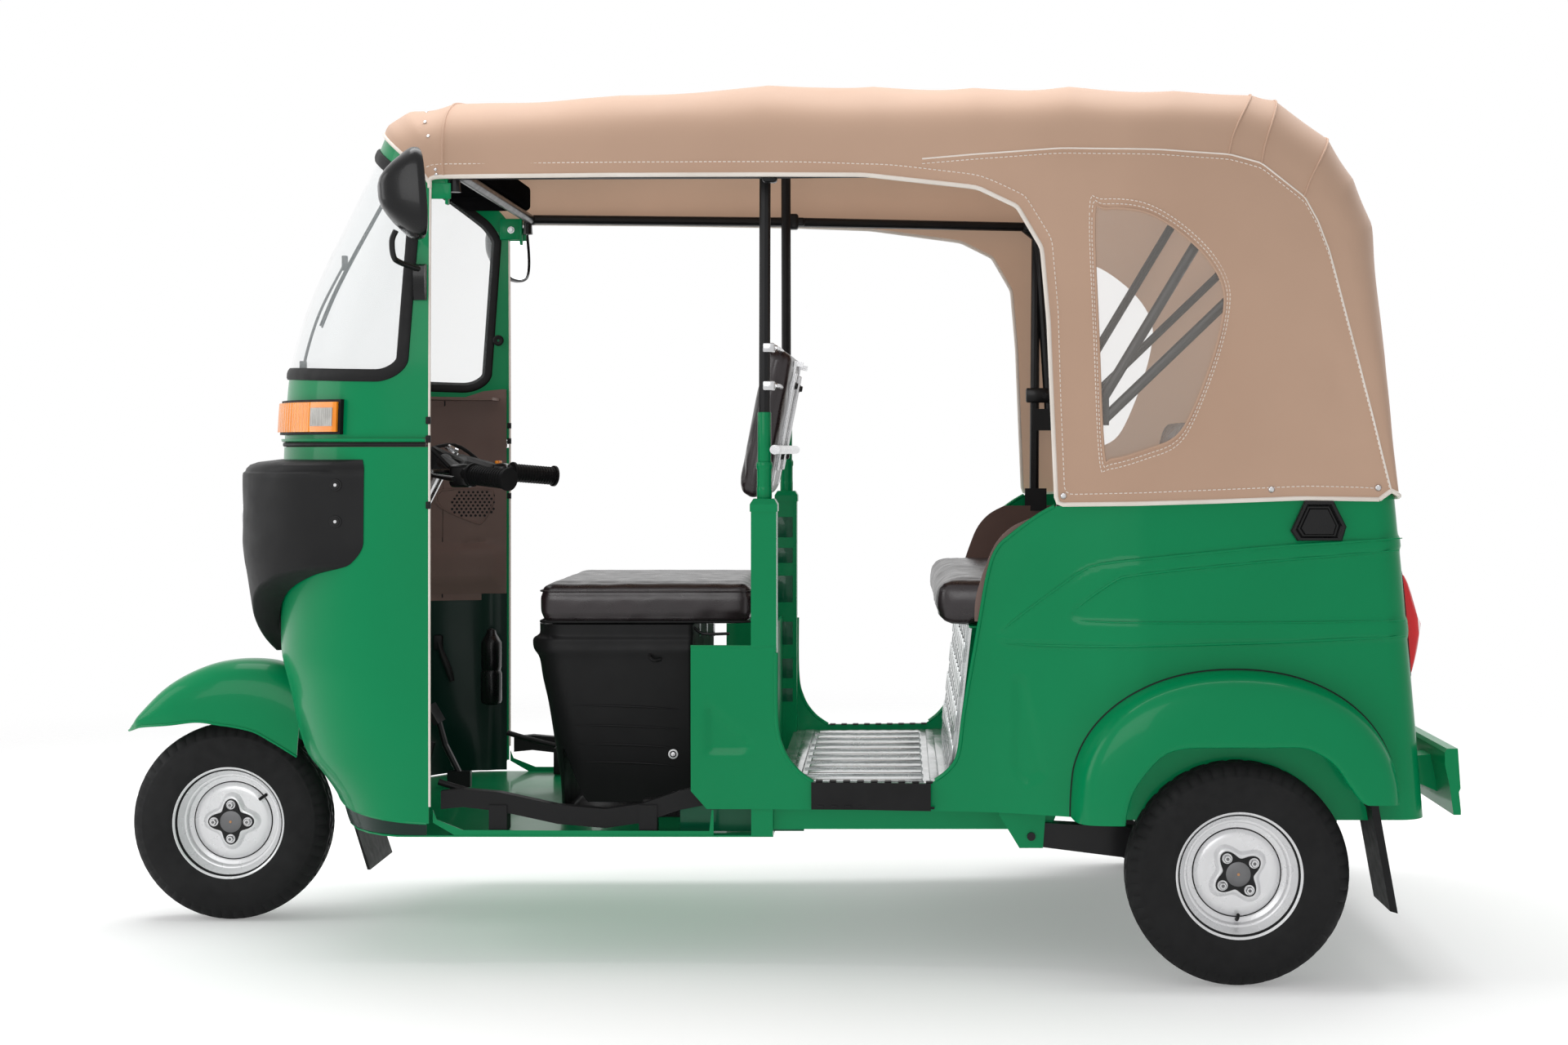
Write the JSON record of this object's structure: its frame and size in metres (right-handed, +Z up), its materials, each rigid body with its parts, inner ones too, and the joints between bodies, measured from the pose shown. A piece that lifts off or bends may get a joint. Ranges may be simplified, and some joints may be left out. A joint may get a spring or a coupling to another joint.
{
  "type": "auto rickshaw",
  "caption": "Three-wheeled passenger auto rickshaw with an open-sided cab, a soft hood on tubes, a rear bench, handlebar steering and a rear engine lid.",
  "frame": {"origin": "on the ground, under the middle of the vehicle's length and width", "axes": "+X towards the tail (the vehicle faces -X), +Y towards the vehicle's right side, +Z up; the middle plane is Y = 0"},
  "size_m": [2.6345, 1.3, 1.706],
  "materials": {
    "body_green": "gloss",
    "hood_tan": "matte",
    "black_plastic": "matte",
    "lining_brown": "matte",
    "seat_leather": "satin",
    "rim_silver": "satin",
    "frame_black": "gloss",
    "amber": "gloss",
    "red": "gloss",
    "clear": "gloss",
    "tyre": "matte",
    "engine_metal": "matte",
    "bright_metal": "satin",
    "rubber": "matte"
  },
  "bodies": {
    "body": {"driver_floor": "body_green", "wheel_well": "body_green", "chassis_frame": "body_green", "front_cowl": "body_green", "windscreen_frame": "body_green", "windscreen_glass": "clear", "windscreen_seal": "rubber", "headlamp_mask": "black_plastic", "headlamps": "clear", "corner_lamps": "amber", "wiper": "black_plastic", "mirrors": "black_plastic", "dashboard": "lining_brown", "foot_controls": "frame_black", "sill_ducts": "black_plastic", "roof_console": "black_plastic", "seat_base": "black_plastic", "driver_seat": "seat_leather", "driver_backrest": "seat_leather", "backrest_bracket": "bright_metal", "partition": "body_green", "side_panel_left": "body_green", "side_panel_right": "body_green", "side_linings": "lining_brown", "passenger_floor": "body_green", "seat_riser": "body_green", "seat_deck": "body_green", "step_treads": "rubber", "passenger_seat": "seat_leather", "passenger_backrest": "seat_leather", "rear_panel": "body_green", "tail_lamps": "red", "rear_bumper": "body_green", "fender_left": "body_green", "fender_right": "body_green", "wheel_housings": "black_plastic", "side_vents": "black_plastic", "mud_flaps": "rubber", "trailing_arms": "frame_black", "rear_shocks": "frame_black", "engine": "engine_metal", "exhaust": "engine_metal", "canopy": "hood_tan", "canopy_windows": "clear", "hood_hoop": "frame_black", "hood_frame": "frame_black", "steering_head": "body_green"},
    "steering": {"steering_column": "bright_metal", "handlebar": "black_plastic", "front_fork": "frame_black", "front_mudguard": "body_green"},
    "front_wheel": {"front_tyre": "tyre", "front_rim": "rim_silver"},
    "rear_left_wheel": {"rear_left_tyre": "tyre", "rear_left_rim": "rim_silver"},
    "rear_right_wheel": {"rear_right_tyre": "tyre", "rear_right_rim": "rim_silver"},
    "engine_lid": {"engine_door": "body_green"}
  },
  "joints": [
    {"name": "steering_turn", "type": "hinge", "parent": "body", "child": "steering", "pos_m": [-0.66, 0, 0.955], "axis": [0.454, 0, 0.891], "range_deg": [-40, 40]},
    {"name": "front_wheel_spin", "type": "hinge", "parent": "steering", "child": "front_wheel", "pos_m": [-1.1, 0, 0.204], "axis": [0, 1, 0], "continuous": true},
    {"name": "rear_left_wheel_spin", "type": "hinge", "parent": "body", "child": "rear_left_wheel", "pos_m": [0.9, -0.575, 0.204], "axis": [0, 1, 0], "continuous": true},
    {"name": "rear_right_wheel_spin", "type": "hinge", "parent": "body", "child": "rear_right_wheel", "pos_m": [0.9, 0.575, 0.204], "axis": [0, 1, 0], "continuous": true},
    {"name": "engine_lid_open", "type": "hinge", "parent": "body", "child": "engine_lid", "pos_m": [1.22211, 0, 0.71114], "axis": [0, -1, 0], "range_deg": [0, 80]}
  ]
}
